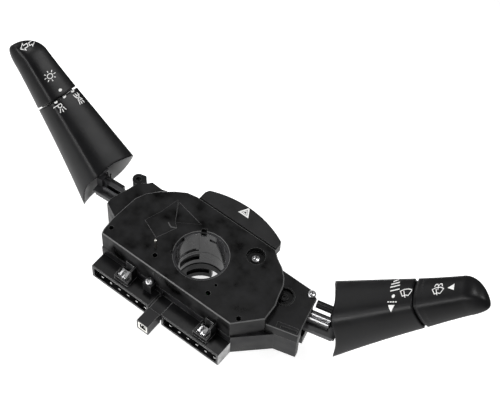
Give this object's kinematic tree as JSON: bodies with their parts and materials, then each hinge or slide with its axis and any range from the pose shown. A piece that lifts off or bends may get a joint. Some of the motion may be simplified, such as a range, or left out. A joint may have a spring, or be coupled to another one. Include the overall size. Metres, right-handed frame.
{
  "type": "combination stalk switch",
  "caption": "Steering-column combination switch: body round a column bore, turn-signal and light stalk, wiper and washer stalk, hazard key, sockets.",
  "frame": {"origin": "on the steering column's axis, at the top face of the cover, the side that faces the steering wheel", "axes": "+Z along the column toward the driver; +Y up when fitted, toward the hazard key; +X to the driver's right, the wiper stalk's side"},
  "size_m": [0.3889, 0.1307, 0.1183],
  "materials": {
    "cover_plastic": "fine-grained black moulding",
    "base_plastic": "fine-grained black moulding",
    "lever_plastic": "satin black moulding",
    "sleeve_plastic": "glossy dark grey",
    "arm_plastic": "dark grey moulding",
    "ivory_plastic": "ivory moulding",
    "white_plastic": "off-white acetal",
    "steel": "zinc-plated pressed steel",
    "spring_steel": "drawn wire",
    "zinc_casting": "die casting",
    "brass": "contact brass",
    "tin_plate": "tin plate",
    "board_laminate": "green circuit laminate",
    "plated_pin": "plated contact pin"
  },
  "bodies": {
    "switch_body": {"base_housing": "base_plastic", "case_screw": "steel", "column_sleeve": "sleeve_plastic", "cover_screw": "steel", "ground_screw": "steel", "hazard_case": "base_plastic", "hazard_contacts": "brass", "hazard_spring": "spring_steel", "horn_brush_holder": "base_plastic", "horn_brush_spring": "spring_steel", "horn_connector_insert": "ivory_plastic", "horn_connector_shell": "base_plastic", "horn_terminals": "tin_plate", "left_connector_shroud": "base_plastic", "left_latch_clip": "steel", "left_terminals": "tin_plate", "main_circuit_board": "board_laminate", "right_connector_shroud": "base_plastic", "right_latch_clip": "steel", "right_terminals": "tin_plate", "top_cover": "cover_plastic", "turn_case_cover": "cover_plastic", "turn_contact_board": "board_laminate", "turn_detent_track": "white_plastic", "wiper_case_cover": "cover_plastic", "wiper_contact_board": "board_laminate", "wiper_detent_track": "white_plastic"},
    "cancel_rotor": {"cancel_ring": "sleeve_plastic"},
    "hazard_key": {"hazard_button": "cover_plastic"},
    "horn_brush": {"horn_brush": "plated_pin"},
    "cancel_pawl": {"turn_cancel_pawl": "white_plastic"},
    "turn_yoke": {"turn_carrier": "zinc_casting", "turn_detent_spring": "spring_steel", "turn_lever_pin": "steel", "turn_moving_contact": "brass"},
    "turn_plunger": {"turn_detent_plunger": "white_plastic"},
    "turn_lever": {"turn_lever_arm": "arm_plastic", "turn_lever_bracket": "steel", "turn_wire_cover": "base_plastic", "turn_skirt_front": "lever_plastic", "turn_skirt_back": "lever_plastic"},
    "light_knob": {"light_twist_cap": "lever_plastic"},
    "wiper_lever": {"wiper_carrier": "zinc_casting", "wiper_detent_spring": "spring_steel", "wiper_lever_pin": "steel", "wiper_moving_contact": "brass", "wiper_lever_arm": "arm_plastic", "wiper_lever_bracket": "steel", "wiper_wire_cover": "base_plastic", "wiper_skirt_front": "lever_plastic", "wiper_skirt_back": "lever_plastic", "wiper_push_collar": "lever_plastic"},
    "wiper_plunger": {"wiper_detent_plunger": "white_plastic"},
    "washer_cap": {"washer_push_cap": "lever_plastic", "washer_spring": "spring_steel"}
  },
  "joints": [
    {"name": "turn_signal_swing", "type": "hinge", "parent": "switch_body", "child": "turn_yoke", "pos_m": [-0.063, 0.0148, -0.022], "axis": [0, 0, 1], "range_deg": [-10, 10]},
    {"name": "headlamp_flash_pull", "type": "hinge", "parent": "turn_yoke", "child": "turn_lever", "pos_m": [-0.07158, 0.01423, -0.022], "axis": [-0.0663, 0.9978, 0], "range_deg": [0, 6], "stiffness_Nm_per_rad": 1.2, "springref_deg": -4.58},
    {"name": "light_switch_twist", "type": "hinge", "parent": "turn_lever", "child": "light_knob", "pos_m": [-0.16933, 0.02586, 0.04031], "axis": [-0.7784, 0.1359, 0.6129], "range_deg": [-25, 25]},
    {"name": "turn_detent_slide", "type": "slide", "parent": "turn_yoke", "child": "turn_plunger", "axis": [0.9978, 0.0663, 0], "range_m": [0, 0.0012], "stiffness_N_per_m": 600},
    {"name": "cancel_pawl_pivot", "type": "hinge", "parent": "switch_body", "child": "cancel_pawl", "pos_m": [-0.033, 0.005, -0.028], "axis": [0, 0, 1], "range_deg": [-8, 8], "stiffness_Nm_per_rad": 0.02},
    {"name": "cancel_ring_spin", "type": "hinge", "parent": "switch_body", "child": "cancel_rotor", "pos_m": [0, 0, -0.034], "axis": [0, 0, 1], "continuous": true},
    {"name": "wiper_swing", "type": "hinge", "parent": "switch_body", "child": "wiper_lever", "pos_m": [0.063, 0.0148, -0.022], "axis": [0, 0, 1], "range_deg": [-18, 6]},
    {"name": "wiper_detent_slide", "type": "slide", "parent": "wiper_lever", "child": "wiper_plunger", "axis": [-0.9736, -0.2284, 0], "range_m": [0, 0.0012], "stiffness_N_per_m": 600},
    {"name": "washer_push", "type": "slide", "parent": "wiper_lever", "child": "washer_cap", "axis": [-0.7047, -0.3575, -0.6129], "range_m": [0, 0.0022], "stiffness_N_per_m": 700, "springref_m": -0.001},
    {"name": "hazard_press", "type": "slide", "parent": "switch_body", "child": "hazard_key", "axis": [0, 0, -1], "range_m": [0, 0.0025], "stiffness_N_per_m": 900, "springref_m": -0.001, "deforming": ["hazard_spring"]},
    {"name": "horn_brush_slide", "type": "slide", "parent": "switch_body", "child": "horn_brush", "axis": [0, 0, -1], "range_m": [0, 0.002], "stiffness_N_per_m": 300, "springref_m": -0.0005, "deforming": ["horn_brush_spring"]}
  ]
}
